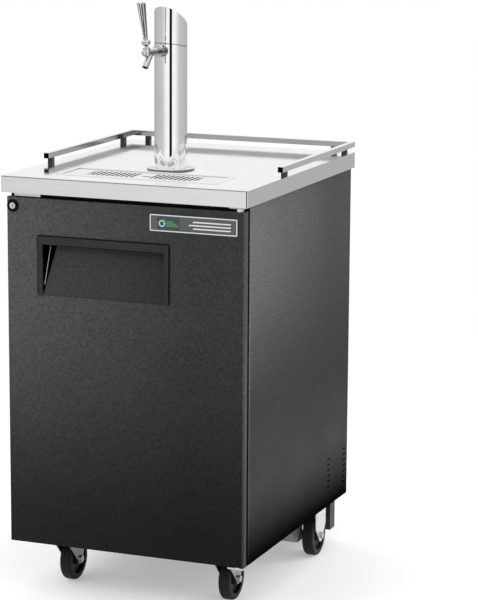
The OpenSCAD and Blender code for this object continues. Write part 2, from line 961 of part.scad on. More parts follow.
module rear_cover() {
    y1 = back_y - sheet;
    color("#333333")
    difference() {
        span([-cover_x, cover_x], [cover_y, y1], [cover_z, bay_h - sheet]);
        span([-cover_x + sheet, cover_x - sheet], [cover_y + sheet, y1 - sheet],
             [cover_z + sheet, bay_h - 2 * sheet]);
        span([-cover_x + sheet, cover_x - sheet], [cover_y - 1, cover_y + 2],
             [base_z, bay_h - 2 * sheet]);
        for (i = [0:8], x = [-1, 0, 1])
            translate([x * 165, 0, 150 + 22 * i]) rotate([90, 0, 0]) translate([0, 0, -y1 - 1])
                linear_extrude(4) rotate(90) slot(140, 7);
        translate([-200, 0, 78]) rod_y(y1 - 5, y1 + 5, 16);
    }
}

module cord_gland() {
    y1 = back_y - sheet;
    color("black")
    translate([-200, 0, 78])
    difference() {
        union() {
            rod_y(y1 - 6, y1 + 1.4, 15.9);
            rod_y(y1 - 6, y1 - sheet, 21);
            rod_y(y1, y1 + 1.4, 24);
        }
        rod_y(y1 - 7, y1 + 3, 9);
    }
}

module gas_port_sleeve() {
    color("white")
    translate([port[0], 0, port[2]])
    difference() {
        union() {
            rod_y(liner_y - 3, back_y + 3, port_od - 0.2);
            rod_y(back_y, back_y + 3, port_od + 12);
            rod_y(liner_y - 3, liner_y, port_od + 8);
        }
        rod_y(liner_y - 4, back_y + 4, port_id);
    }
}

module compressor() {
    foot_z = pan_z + sheet;
    color("#202020")
    translate([comp[0], comp[1], foot_z]) {
        for (a = [0:120:240])
            rotate(a + 30) {
                translate([52, 0, 0]) cylinder(h = 14, d = 20);
                translate([20, -9, 12]) cube([42, 18, 3]);
            }
        translate([0, 0, 14]) cylinder(h = 100, d = comp_d);
        translate([0, 0, 114]) intersection() {
            sphere(d = comp_d);
            cylinder(h = 46, d = comp_d);
        }
        translate([-20, -4, 150]) cylinder(h = 22, d = 8);
        translate([22, 6, 150]) cylinder(h = 18, d = 10);
    }
}

// finned coil, its tubes reaching past the fins to the end plates
module fin_coil(x, y, z, fins, reach) {
    pitch = (x[1] - x[0] - 2) / (fins - 1);
    for (i = [0:fins - 1])
        span([x[0] + i * pitch, x[0] + i * pitch + 1], y, z);
    rows = 5;
    rise = (z[1] - z[0]) / rows;
    for (i = [0:rows - 1])
        translate([0, (y[0] + y[1]) / 2, z[0] + rise * (i + 0.5)]) rod_x(x[0] - reach, x[1] + reach, 9);
}

module condenser() {
    y = [262, 304];
    z = [pan_z + sheet, pan_z + sheet + 172];
    color("#4a4a4a") {
        fin_coil([coil_x[0] + 12, coil_x[1] - 12], y, z, 22, 12);
        for (x = coil_x)
            span([x - 1, x + 1], [y[0] - 8, y[1]], z);
        for (x = [coil_x[0] + 3, coil_x[1] - 9])
            span([x, x + 6], [272, 294], z);
    }
}

module fan_motor() {
    c = fan_c;
    color("gray")
    translate([c[0], 0, c[1]]) {
        rod_y(172, 214, 56);
        rod_y(214, 225, 6);
        span([-8, 8], [176, 206], [pan_z + sheet - c[1], -20]);
        span([-30, 30], [174, 208], [pan_z + sheet - c[1], pan_z + sheet - c[1] + 3]);
    }
}

// axial fan about Y: hub with five pitched blades, and a bore for a shaft
module axial_fan(d, hub, w, bore) {
    rotate([-90, 0, 0])
    difference() {
        union() {
            cylinder(h = w, d = hub);
            intersection() {
                for (a = [0:72:288])
                    rotate(a) translate([0, -1, w / 2]) rotate([38, 0, 0])
                        translate([0, -d / 6, -0.8]) cube([d / 2, d / 3, 1.6]);
                cylinder(h = w, d = d);
            }
        }
        translate([0, 0, -1]) cylinder(h = w * 0.7, d = bore);
    }
}

module condenser_fan() {
    color("dimgray") translate([fan_c[0], 219, fan_c[1]]) axial_fan(140, 40, 22, 6.1);
}

module evaporator_housing() {
    color("white")
    difference() {
        span([-evap_x, evap_x], [evap_y, liner_y], evap_z);
        span([-evap_x + 2, evap_x - 2], [evap_y + 2, liner_y + 1], [evap_z[0] + 2, evap_z[1] - 2]);
        for (i = [0:8])
            span([evap_fan[0] - 58, evap_fan[0] + 58], [evap_y - 1, evap_y + 3],
                 [evap_fan[1] - 58 + 13 * i, evap_fan[1] - 50 + 13 * i]);
        for (i = [0:11])
            span([-130 + 22 * i, -118 + 22 * i], [255, 295], [evap_z[0] - 1, evap_z[0] + 3]);
        translate([knob[0], 0, knob[1]]) rod_y(evap_y - 1, evap_y + 5, 8.4);
    }
}

module evaporator_coil() {
    color("lightsteelblue") {
        fin_coil([-118, 118], [252, 292], [740, 880], 24, 8);
        for (x = [-127, 125])
            span([x, x + 2], [252, liner_y], [740, 880]);
        translate([evap_fan[0], 0, evap_fan[1]]) {
            rod_y(240, 253, 34);
            rod_y(228, 241, 5);
        }
    }
}

module evaporator_fan() {
    color("dimgray") translate([evap_fan[0], 236, evap_fan[1]]) mirror([0, 1, 0])
        axial_fan(112, 32, 17, 5.1);
}

module thermostat_knob() {
    color("#303030")
    translate([knob[0], 0, knob[1]]) {
        rod_y(evap_y - 14, evap_y - 0.6, 32);
        span([-3, 3], [evap_y - 20, evap_y - 13], [-15, 15]);
        rod_y(evap_y - 1, evap_y + 8, 8.3);
    }
}

// ---- casters: built at the right side, local origin under the swivel axis ----

module at_front(s) {
    side_of(s) translate([front_caster[0], front_caster[1], 0]) children();
}

module at_rear(s) {
    side_of(s) translate([rear_caster[0], rear_caster[1], 0]) children();
}

module front_caster_plates() {
    color("silver")
    for (s = [-1, 1]) at_front(s) {
        translate([0, 0, base_z - plate_t]) rounded_plate(64, 92, plate_t, 5);
        translate([0, 0, 116.3]) cylinder(h = base_z - plate_t - 116, d1 = 48, d2 = 54);
        translate([0, 0, 103.5]) cylinder(h = 14, d = axle_d);
    }
}

module front_fork(s) {
    color("gray")
    at_front(s) {
        difference() {
            union() {
                translate([0, 0, 108]) cylinder(h = 8, d = 50);
                span([-leg_in - leg_t, leg_in + leg_t], [-24, 26], [104.5, 108.5]);
            }
            translate([0, 0, 100]) cylinder(h = 20, d = axle_d + 0.1);
        }
        for (x = [-leg_in - leg_t, leg_in])
            difference() {
                plate_x(x, x + leg_t) {
                    polygon([[-24, 106], [-24, 96], [trail - 12, 47], [trail + 10, 45],
                             [trail + 15, 60], [60, 90], [60, 104], [26, 106]]);
                    translate([trail, wheel_r]) circle(12);
                }
                translate([0, trail, wheel_r]) rod_x(-30, 30, axle_d + 0.1);
                translate([0, pedal_pivot[0], pedal_pivot[1]]) rod_x(-30, 30, 5.1);
            }
    }
}

// axle bolt with a head and a nut outside the fork legs
module axle() {
    outer = leg_in + leg_t;
    rod_x(-outer - 1, outer + 1, axle_d);
    rod_x(-outer - 5, -outer, 16);
    translate([outer, 0, 0]) rotate([0, 90, 0]) cylinder(h = 5.5, d = 17, $fn = 6);
}

module front_axle(s) {
    color("lightgray") at_front(s) translate([0, trail, wheel_r]) axle();
}

module wheel() {
    r = 6;
    w = wheel_w / 2;
    difference() {
        rotate([0, 90, 0]) rotate_extrude($fn = 96) {
            translate([wheel_r - 14, -w + r]) square([14, 2 * w - 2 * r]);
            translate([wheel_r - 14, -w]) square([14 - r, 2 * w]);
            for (s = [-1, 1]) translate([wheel_r - r, s * (w - r)]) circle(r);
            translate([14, -5]) square([wheel_r - 26, 10]);
            translate([2, -w - 1.2]) square([13, 2 * w + 2.4]);
        }
        rod_x(-40, 40, axle_d + 0.1);
    }
}

module front_wheel(s) {
    color("#1c1c1c") at_front(s) translate([0, trail, wheel_r]) wheel();
}

// foot lever behind the wheel, its two arms riveted to the fork
module brake_pedal(s) {
    y = pedal_pivot[0];
    z = pedal_pivot[1];
    in = leg_in + leg_t + 0.4;
    color("silver")
    at_front(s) {
        for (m = [0, 1]) mirror([m, 0, 0]) {
            plate_x(in, in + 2)
                polygon([[y - 7, z - 5], [y + 4, z - 8], [104, 82], [104, 85.5], [y + 4, z + 7],
                         [y - 7, z + 5]]);
            translate([0, y, z]) rod_x(in - leg_t - 0.2, in + 1, 5);
        }
        plate_x(-in - 2, in + 2)
            polygon([[74.5, 90.4], [104, 82], [104, 85], [74.5, 93.4]]);
    }
}

module rear_forks() {
    top = base_z - plate_t;
    outer = leg_in + leg_t;
    color("lightgray")
    for (s = [-1, 1]) at_rear(s) {
        translate([0, 0, top]) rounded_plate(46, 92, plate_t, 5);
        span([-outer, outer], [-33.5, 33.5], [top - 3, top + 0.5]);
        for (x = [-outer, leg_in])
            difference() {
                plate_x(x, x + leg_t)
                    polygon([[-33.5, top], [-33.5, 70], [-8, 38], [-3, 35], [3, 35], [8, 38],
                             [33.5, 76], [33.5, top]]);
                translate([0, 0, wheel_r]) rod_x(-30, 30, axle_d + 0.1);
            }
    }
}

module rear_axles() {
    color("lightgray") for (s = [-1, 1]) at_rear(s) translate([0, 0, wheel_r]) axle();
}

module rear_wheel(s) {
    color("#3c3c3c") at_rear(s) translate([0, 0, wheel_r]) wheel();
}

module front_fork_left() { front_fork(-1); }
module front_fork_right() { front_fork(1); }
module front_axle_left() { front_axle(-1); }
module front_axle_right() { front_axle(1); }
module brake_pedal_left() { brake_pedal(-1); }
module brake_pedal_right() { brake_pedal(1); }
module wheel_front_left() { front_wheel(-1); }
module wheel_front_right() { front_wheel(1); }
module wheel_rear_left() { rear_wheel(-1); }
module wheel_rear_right() { rear_wheel(1); }

cabinet_shell();
base_frame();
insulation();
liner();
countertop();
counter_core();
drip_pan();
drip_grid();
gallery_rail();
rail_legs();
tower_flange();
tower_screws();
tower_column();
tower_cap();
tap_shank();
coupling_nut();
faucet_body();
faucet_bonnet();
tap_shaft();
tap_lever();
lever_ferrule();
tap_handle();
door_skin();
door_liner();
door_foam();
door_gasket();
door_bushes();
hinge_brackets();
handle_trim();
handle_pocket();
badge_frame();
badge_panel();
lock_barrel();
lock_plug();
lock_keeper();
base_pan();
rear_cover();
cord_gland();
gas_port_sleeve();
compressor();
condenser();
fan_motor();
condenser_fan();
evaporator_housing();
evaporator_coil();
evaporator_fan();
thermostat_knob();
front_caster_plates();
front_fork_left();
front_fork_right();
front_axle_left();
front_axle_right();
brake_pedal_left();
brake_pedal_right();
wheel_front_left();
wheel_front_right();
rear_forks();
rear_axles();
wheel_rear_left();
wheel_rear_right();
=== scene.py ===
import math

import bmesh
import bpy
from mathutils import Matrix, Vector


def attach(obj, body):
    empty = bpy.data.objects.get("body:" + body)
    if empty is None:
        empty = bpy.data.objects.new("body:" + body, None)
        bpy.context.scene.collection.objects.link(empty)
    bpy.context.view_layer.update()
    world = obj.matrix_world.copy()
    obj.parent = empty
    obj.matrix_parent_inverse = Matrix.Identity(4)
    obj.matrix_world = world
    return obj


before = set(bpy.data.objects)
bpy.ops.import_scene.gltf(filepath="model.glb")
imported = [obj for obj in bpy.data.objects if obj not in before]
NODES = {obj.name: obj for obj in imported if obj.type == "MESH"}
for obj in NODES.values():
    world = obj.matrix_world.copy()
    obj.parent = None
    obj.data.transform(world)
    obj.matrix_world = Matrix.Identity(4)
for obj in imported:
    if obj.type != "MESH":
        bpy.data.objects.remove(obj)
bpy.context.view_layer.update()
scene = bpy.context.scene

# ---------------------------------------------------------------- camera
# where the camera stands, and its axes, in the part's frame
EYE = Vector((2.244374, -5.283537, 1.780126))
RIGHT = Vector((0.928620, 0.370984, 0.005904))
UP = Vector((-0.076299, 0.175364, 0.981543))
AHEAD = Vector((-0.363102, 0.911931, -0.191153))

cam_data = bpy.data.cameras.new("camera")
cam_data.lens = 146.368
cam_data.sensor_width = 36.0
cam_data.clip_start = 0.1
cam_data.clip_end = 100.0
cam = bpy.data.objects.new("camera", cam_data)
scene.collection.objects.link(cam)
cam.matrix_world = Matrix((
    (RIGHT.x, UP.x, -AHEAD.x, EYE.x),
    (RIGHT.y, UP.y, -AHEAD.y, EYE.y),
    (RIGHT.z, UP.z, -AHEAD.z, EYE.z),
    (0, 0, 0, 1)))
scene.camera = cam


# ---------------------------------------------------------------- node helpers
class Tree:
    """Short names for the nodes of one material."""

    def __init__(self, name):
        self.mat = bpy.data.materials.new(name)
        self.mat.use_nodes = True
        self.nt = self.mat.node_tree
        self.p = self.nt.nodes["Principled BSDF"]
        self.out = self.nt.nodes["Material Output"]
        self.tc = self.nt.nodes.new("ShaderNodeTexCoord").outputs["Object"]

    def put(self, **values):
        for k, v in values.items():
            self.p.inputs[k.replace("_", " ")].default_value = v

    def link(self, a, b):
        self.nt.links.new(a, b)

    def set(self, socket, value):
        if isinstance(value, bpy.types.NodeSocket):
            self.link(value, socket)
        else:
            socket.default_value = value

    def scaled(self, scale, shift=(0, 0, 0), turn=(0, 0, 0)):
        n = self.nt.nodes.new("ShaderNodeMapping")
        n.inputs["Scale"].default_value = scale
        n.inputs["Location"].default_value = shift
        n.inputs["Rotation"].default_value = turn
        self.link(self.tc, n.inputs["Vector"])
        return n.outputs[0]

    def noise(self, scale, detail=3.0, rough=0.55, at=None):
        n = self.nt.nodes.new("ShaderNodeTexNoise")
        n.inputs["Scale"].default_value = scale
        n.inputs["Detail"].default_value = detail
        n.inputs["Roughness"].default_value = rough
        self.link(at if at is not None else self.tc, n.inputs["Vector"])
        return n.outputs[0]

    def cells(self, scale, feature="F1", at=None, out="Distance"):
        n = self.nt.nodes.new("ShaderNodeTexVoronoi")
        n.feature = feature
        n.inputs["Scale"].default_value = scale
        self.link(at if at is not None else self.tc, n.inputs["Vector"])
        return n.outputs[out]

    def math(self, op, a, b=0.0, c=0.0, clamp=False):
        n = self.nt.nodes.new("ShaderNodeMath")
        n.operation = op
        n.use_clamp = clamp
        self.set(n.inputs[0], a)
        self.set(n.inputs[1], b)
        self.set(n.inputs[2], c)
        return n.outputs[0]

    def span(self, value, lo, hi, to_lo, to_hi, smooth=False):
        n = self.nt.nodes.new("ShaderNodeMapRange")
        n.interpolation_type = "SMOOTHSTEP" if smooth else "LINEAR"
        self.set(n.inputs["Value"], value)
        for k, v in (("From Min", lo), ("From Max", hi), ("To Min", to_lo), ("To Max", to_hi)):
            n.inputs[k].default_value = v
        return n.outputs["Result"]

    def mix(self, fac, a, b):
        n = self.nt.nodes.new("ShaderNodeMix")
        n.data_type = "RGBA"
        self.set(n.inputs[0], fac)
        self.set(n.inputs[6], a if isinstance(a, bpy.types.NodeSocket) else rgba(a))
        self.set(n.inputs[7], b if isinstance(b, bpy.types.NodeSocket) else rgba(b))
        return n.outputs[2]

    def axes(self):
        n = self.nt.nodes.new("ShaderNodeSeparateXYZ")
        self.link(self.tc, n.inputs[0])
        return n.outputs

    def facing(self):
        """direction a surface faces in its own piece's axes, so that it turns with the piece"""
        n = self.nt.nodes.new("ShaderNodeSeparateXYZ")
        self.link(self.nt.nodes.new("ShaderNodeTexCoord").outputs["Normal"], n.inputs[0])
        return n.outputs

    def near(self, value, centre, half, soft=0.0003):
        """1 within half of centre, 0 outside"""
        off = self.math("ABSOLUTE", self.math("SUBTRACT", value, centre))
        return self.span(off, half - soft, half + soft, 1.0, 0.0)

    def both(self, *factors):
        out = factors[0]
        for f in factors[1:]:
            out = self.math("MULTIPLY", out, f)
        return out

    def radius(self, a, a0, b, b0):
        """distance of the point (a, b) from (a0, b0)"""
        da = self.math("SUBTRACT", a, a0)
        db = self.math("SUBTRACT", b, b0)
        s = self.math("ADD", self.math("MULTIPLY", da, da), self.math("MULTIPLY", db, db))
        return self.math("SQRT", s)

    def bump(self, height, strength, distance, under=None):
        n = self.nt.nodes.new("ShaderNodeBump")
        n.inputs["Strength"].default_value = strength
        n.inputs["Distance"].default_value = distance
        self.link(height, n.inputs["Height"])
        if under is not None:
            self.link(under, n.inputs["Normal"])
        self.link(n.outputs[0], self.p.inputs["Normal"])
        return n.outputs[0]

    def color(self, socket):
        self.link(socket, self.p.inputs["Base Color"])

    def rough(self, socket):
        self.link(socket, self.p.inputs["Roughness"])


def rgba(c):
    if isinstance(c, (int, float)):
        c = (c, c, c)
    return (c[0], c[1], c[2], 1.0)


# ---------------------------------------------------------------- materials
def door_painted_sheen(t):
    """painted sheen of the door: a painted highlight brightest high on the left, fading down and to the right
    """
    x, _, z = t.axes()
    f = t.both(t.span(z, 0.13, 0.80, 0.10, 1.0, smooth=True), t.span(x, -0.27, 0.16, 1.0, 0.44))
    # painted light: the face at the door's right end, beyond x 0.29, is painted brighter
    return t.math("ADD", f, t.both(t.span(x, 0.2895, 0.2905, 0.0, 0.9), t.span(z, 0.1, 0.8, 0.3, 1.0)))


def body_painted_sheen(t):
    """painted sheen of the cabinet's sides: painted highlight high at the front, fading to near black along
    the bottom
    """
    _, y, z = t.axes()
    low = t.span(z, 0.13, 0.32, 0.0, 0.20, smooth=True)
    high = t.both(t.span(z, 0.45, 0.90, 0.0, 0.78, smooth=True), t.span(y, -0.31, 0.22, 1.0, 0.26))
    # painted highlight along the front edge of the sides
    edge = t.both(t.span(y, -0.321, -0.315, 0.5, 0.0), t.span(z, 0.13, 0.6, 0.0, 1.0))
    return t.math("ADD", t.math("ADD", low, high), edge)


def vinyl(name, tone, low, high, spec, rough=(0.40, 0.56), grain=0.8):
    """textured black vinyl on sheet steel: pebble grain with painted shade in its pits, random tone blotches,
    and a painted sheen that changes slowly over the surface
    """
    t = Tree(name)
    pebble = t.cells(430.0)
    fine = t.noise(1100.0, 2.0)
    broad = t.noise(6.0, 3.0)
    blotch = t.noise(190.0, 3.0, 0.7)
    height = t.math("ADD", pebble, t.math("MULTIPLY", fine, 0.6))
    # tone gives the painted sheen, a painted highlight gradient that sets both the colour and the specular
    # level
    f = tone(t)
    level = t.span(f, 0.0, 1.0, low, high)
    # painted shade: darker in the pits of the pebble grain; blotch and broad add random tone
    speck = t.math("ADD", t.span(pebble, 0.1, 0.75, 0.62, 1.20), t.span(blotch, 0.35, 0.65, -0.40, 0.40))
    speck = t.math("ADD", speck, t.span(broad, 0.35, 0.65, -0.08, 0.08))
    t.color(t.mix(t.both(level, speck), (0, 0, 0), (0.99, 1.0, 1.02)))
    t.link(t.span(f, 0.0, 1.0, spec[0], spec[1]), t.p.inputs["Specular IOR Level"])
    t.rough(t.span(broad, 0.3, 0.7, rough[0], rough[1]))
    t.bump(height, grain, 0.0004)
    return t.mat


def brushed(name, tone, rough, along="X", depth=0.10, tint=(1, 1, 1), patches=0.05, fine=1.0, shade=None):
    """brushed sheet steel: long fine lines along one axis, small tone and gloss changes;
    shade gives painted shade and painted reflection: the places painted dark, such as a recess or a folded
    edge"""
    t = Tree(name)
    long_, short = 3.0, 900.0 * fine
    scale = {"X": (long_, short, short), "Y": (short, long_, short),
             "Z": (short, short, long_)}[along]
    lines = t.noise(1.0, 4.0, 0.6, at=t.scaled(scale))
    wide = t.noise(1.0, 2.0, 0.5, at=t.scaled([s * (0.12 if s > 10 else 0.5) for s in scale]))
    smudge = t.noise(9.0, 4.0, 0.6)
    lo = [tone * (1 - depth) * k for k in tint]
    hi = [min(1.0, tone * (1 + depth * 0.6)) * k for k in tint]
    f = t.math("ADD", t.math("MULTIPLY", lines, 0.65), t.math("MULTIPLY", wide, 0.35))
    base = t.mix(t.span(f, 0.35, 0.65, 0.0, 1.0), lo, hi)
    base = t.mix(t.span(smudge, 0.45, 0.75, 0.0, patches), base, [tone * 0.7 * k for k in tint])
    if shade:
        # painted shade and painted reflection: the shade mask mixes the colour to near black
        base = t.mix(shade(t), base, (0.014, 0.014, 0.015))
    t.color(base)
    r = t.math("ADD", t.span(lines, 0.3, 0.7, rough[0], rough[1]), t.span(smudge, 0.4, 0.7, 0.0, 0.04))
    t.rough(r)
    t.bump(lines, 0.05, 0.00004)
    t.put(Metallic=1.0, Anisotropic=0.3)
    return t.mat


def worktop_painted_edge_shade(t):
    """painted shade along the top of the folded front edge and down the front right corner"""
    x, y, z = t.axes()
    edge = t.both(t.span(y, -0.3592, -0.3586, 1.0, 0.0), t.span(z, 0.9893, 0.9899, 0.0, 0.60))
    corner_shade = t.both(t.span(y, -0.3565, -0.3555, 1.0, 0.0), t.near(x, 0.3002, 0.0012))
    return t.math("MAXIMUM", edge, t.math("MULTIPLY", corner_shade, 0.85))


def pan_painted_shade(t):
    """painted shade: the inside of the drip tray, painted dark below the rim"""
    _, _, z = t.axes()
    return t.span(z, 0.9895, 0.9910, 0.96, 0.0)


def grid_painted_shade(t):
    """painted shade on the sides of the grid's slots, and a painted dark band round each slot"""
    x, y, _ = t.axes()
    _, _, fz = t.facing()
    far = t.math("ABSOLUTE", x)
    step = t.math("FRACT", t.math("DIVIDE", far, 0.012))
    off = t.math("SUBTRACT", 0.5, t.math("ABSOLUTE", t.math("SUBTRACT", step, 0.5)))
    slot_rim_shade = t.both(t.span(off, 0.27, 0.30, 1.0, 0.0), t.near(far, 0.078, 0.0575), t.near(y, -0.2305, 0.0315))
    return t.math("MAXIMUM", t.span(fz, 0.4, 0.6, 0.96, 0.0), t.math("MULTIPLY", slot_rim_shade, 0.92))


def flange_painted_shade(t):
    """painted shade on the flange's rim, and a painted dark ring where the column stands on it"""
    x, y, z = t.axes()
    r = t.radius(x, 0.006, y, -0.0975)
    rim = t.both(t.span(r, 0.0545, 0.0555, 0.0, 0.80), t.span(z, 0.9950, 0.9953, 1.0, 0.5))
    return t.math("MAXIMUM", rim, t.span(r, 0.0392, 0.0402, 0.9, 0.0))


def rail_painted_reflection(t):
    """painted reflection on the faces of the rail turned in over the worktop, where they mirror the tower and
    the dark
    """
    x, y, _ = t.axes()
    fx, fy, _ = t.facing()
    inner = t.both(t.span(fx, 0.4, 0.6, 0.0, 0.62), t.span(x, 0.0, 0.1, 1.0, 0.0))
    back = t.both(t.span(fy, -0.6, -0.4, 0.55, 0.0), t.span(y, 0.30, 0.31, 0.0, 1.0))
    end = t.both(t.span(fy, -0.6, -0.4, 0.97, 0.0), t.span(y, -0.10, 0.0, 1.0, 0.0))
    return t.math("MAXIMUM", t.math("MAXIMUM", inner, back), end)


def polished(name, tone, rough=0.045, tint=(1, 1, 1), smear=0.035):
    """chrome plate: mirror gloss with faint wipe marks and a trace of orange peel"""
    t = Tree(name)
    wipe = t.noise(1.0, 4.0, 0.6, at=t.scaled((60, 60, 14), turn=(0.3, 0.2, 0)))
    spots = t.noise(26.0, 4.0, 0.65)
    t.color(t.mix(t.span(spots, 0.4, 0.75, 0.0, 1.0), [tone * k for k in tint],
                  [tone * 0.93 * k for k in tint]))
    t.rough(t.math("ADD", t.span(wipe, 0.4, 0.75, rough, rough + smear),
                   t.span(spots, 0.5, 0.8, 0.0, smear * 0.6)))
    t.bump(t.noise(140.0, 2.0), 0.03, 0.0001)
    t.put(Metallic=1.0)
    return t.mat


def moulded(name, low, high, rough=(0.35, 0.5), grain=900.0, strength=0.2, distance=0.0001, spec=0.5):
    """moulded plastic or rubber: fine spark-eroded grain, slow tone change"""
    t = Tree(name)
    fine = t.noise(grain, 3.0)
    broad = t.noise(14.0, 3.0)
    t.color(t.mix(t.math("ADD", t.math("MULTIPLY", broad, 0.6), t.math("MULTIPLY", fine, 0.4)),
                  low, high))
    t.rough(t.span(broad, 0.3, 0.7, rough[0], rough[1]))
    t.bump(fine, strength, distance)
    t.put(Specular_IOR_Level=spec)
    return t.mat


def tower_chrome(name, seam_z, lean):
    """chrome tube with the fine dark joint line where the cap meets the column"""
    t = Tree(name)
    x, y, z = t.axes()
    wipe = t.noise(1.0, 4.0, 0.6, at=t.scaled((60, 60, 14), turn=(0.3, 0.2, 0)))
    spots = t.noise(26.0, 4.0, 0.65)
    base = t.mix(t.span(spots, 0.4, 0.75, 0.0, 1.0), 0.93, 0.87)
    back = t.math("ADD", t.math("MULTIPLY", t.math("SUBTRACT", x, 0.006), 0.1478),
                  t.math("MULTIPLY", t.math("ADD", y, 0.0975), 0.989))
    joint = t.math("ADD", z, t.math("MULTIPLY", back, math.tan(lean)))
    t.color(t.mix(t.math("MULTIPLY", t.near(joint, seam_z, 0.0009), 0.80), base, 0.02))
    t.rough(t.span(wipe, 0.4, 0.75, 0.03, 0.06))
    t.bump(t.noise(140.0, 2.0), 0.02, 0.0001)
    t.put(Metallic=1.0)
    return t.mat


def cast_chrome(name, stops, bore=False, tone=1.0):
    """chrome over castings: painted reflections of the studio's dark and bright bands, by the way a surface
    faces, with a painted highlight on faces turned up, painted shade on faces turned down, and polish marks;
    the spout's bore is painted dark as painted shade"""
    t = Tree(name)
    fx, fy, fz = t.facing()
    spots = t.noise(60.0, 4.0, 0.65)
    # painted reflection: side picks the studio's dark and bright bands by facing
    side = t.math("ADD", t.math("MULTIPLY", fx, RIGHT.x), t.math("MULTIPLY", fy, RIGHT.y))
    side = t.math("ADD", side, t.span(spots, 0.3, 0.7, -0.05, 0.05))
    ramp = t.nt.nodes.new("ShaderNodeValToRGB")
    t.link(t.span(side, -1.0, 1.0, 0.0, 1.0), ramp.inputs[0])
    e = ramp.color_ramp.elements
    while len(e) > 1:
        e.remove(e[-1])
    for i, (at, v) in enumerate(stops):
        el = e[0] if i == 0 else e.new((at + 1) / 2)
        el.position = (at + 1) / 2
        el.color = rgba(v * tone)
    # painted highlight on faces turned up, then painted shade on faces turned down
    base = t.mix(t.span(fz, 0.45, 0.85, 0.0, 0.8), ramp.outputs[0], 0.9)
    base = t.mix(t.span(fz, -0.85, -0.45, 0.75, 0.0), base, 0.06)
    # painted shade in the spout's bore
    if bore:
        x, y, z = t.axes()
        dx, dy = t.math("SUBTRACT", x, 0.006), t.math("ADD", y, 0.0975)
        along = t.math("SUBTRACT", t.math("MULTIPLY", dx, -0.1478), t.math("MULTIPLY", dy, 0.989))
        across = t.math("SUBTRACT", t.math("MULTIPLY", dx, 0.989), t.math("MULTIPLY", dy, 0.1478))
        ring = t.math("SUBTRACT", t.radius(along, SPOUT[0], z, SPOUT[1]), SPOUT[2])
        off = t.math("SQRT", t.math("ADD", t.math("MULTIPLY", ring, ring),
                                    t.math("MULTIPLY", across, across)))
        low = t.span(z, 1.256, 1.258, 1.0, 0.0)
        base = t.mix(t.both(t.span(off, 0.0058, 0.0062, 1.0, 0.0), low), base, 0.004)
    t.color(base)
    t.rough(t.span(spots, 0.4, 0.75, 0.06, 0.14))
    t.bump(spots, 0.05, 0.0001)
    t.put(Metallic=1.0)
    return t.mat


def galvanised(name, tone, rough=(0.28, 0.45), size=120.0, dark=0.75):
    """zinc-plated pressed steel: crystal patches, dull and bright"""
    t = Tree(name)
    patch = t.cells(size, out="Color")
    sep = t.nt.nodes.new("ShaderNodeSeparateColor")
    t.link(patch, sep.inputs[0])
    grime = t.noise(22.0, 5.0, 0.65)
    base = t.mix(t.math("MULTIPLY", sep.outputs[0], 0.6), [tone] * 3,
                 [tone * 0.84, tone * 0.85, tone * 0.87])
    t.color(t.mix(t.span(grime, 0.5, 0.8, 0.0, 0.5), base, [tone * dark] * 3))
    t.rough(t.math("ADD", t.span(sep.outputs[1], 0, 1, rough[0], rough[1]),
                   t.span(grime, 0.5, 0.8, 0.0, 0.12)))
    t.bump(t.noise(420.0, 3.0), 0.12, 0.0001)
    t.put(Metallic=1.0)
    return t.mat


def enamel(name, low, high, rough=(0.28, 0.42), peel=260.0, dust=0.0):
    """sprayed paint with orange peel, and dust on what faces up"""
    t = Tree(name)
    peel_h = t.noise(peel, 2.0)
    broad = t.noise(11.0, 4.0, 0.6)
    base = t.mix(t.span(broad, 0.3, 0.7, 0.0, 1.0), low, high)
    if dust:
        n = t.nt.nodes.new("ShaderNodeTexCoord")
        s = t.nt.nodes.new("ShaderNodeSeparateXYZ")
        t.link(n.outputs["Normal"], s.inputs[0])
        up = t.span(s.outputs[2], 0.3, 1.0, 0.0, dust)
        base = t.mix(t.math("MULTIPLY", up, t.noise(60.0, 4.0)), base, (0.30, 0.29, 0.27))
    t.color(base)
    t.rough(t.span(broad, 0.3, 0.7, rough[0], rough[1]))
    t.bump(peel_h, 0.15, 0.00015)
    return t.mat


def stucco(name, tone, front=-1.0):
    """embossed aluminium liner: shallow pebble emboss, soft gloss, and black in front of a plane"""
    t = Tree(name)
    emboss = t.cells(190.0, "SMOOTH_F1")
    broad = t.noise(6.0, 3.0)
    _, y, _ = t.axes()
    bare = t.mix(t.span(broad, 0.3, 0.7, 0.0, 1.0), [tone * 0.93] * 3, [tone] * 3)
    t.color(t.mix(t.span(y, front, front + 0.0002, 1.0, 0.0), bare, (0.010, 0.010, 0.011)))
    t.rough(t.span(broad, 0.3, 0.7, 0.30, 0.42))
    t.bump(emboss, 0.55, 0.0006)
    t.put(Metallic=0.85)
    return t.mat


def foam(name):
    t = Tree(name)
    cell = t.cells(650.0)
    broad = t.noise(16.0, 4.0)
    t.color(t.mix(t.math("ADD", t.math("MULTIPLY", broad, 0.6), t.math("MULTIPLY", cell, 0.5)),
                  (0.72, 0.60, 0.36), (0.86, 0.77, 0.55)))
    t.bump(cell, 0.5, 0.0006)
    t.put(Roughness=0.9)
    return t.mat


def board(name):
    """plywood backing: grain along X, ply lines by height"""
    t = Tree(name)
    grain = t.noise(1.0, 5.0, 0.6, at=t.scaled((7, 260, 260)))
    _, _, z = t.axes()
    ply = t.math("FRACT", t.math("MULTIPLY", z, 330.0))
    wood = t.mix(grain, (0.44, 0.28, 0.15), (0.68, 0.49, 0.30))
    wood = t.mix(t.span(ply, 0.45, 0.55, 0.0, 0.35), wood, (0.30, 0.18, 0.09))
    t.color(t.mix(t.span(z, 0.9542, 0.9548, 1.0, 0.0), wood, (0.012, 0.012, 0.012)))
    t.rough(t.span(grain, 0.3, 0.7, 0.6, 0.8))
    t.bump(grain, 0.2, 0.0003)
    return t.mat


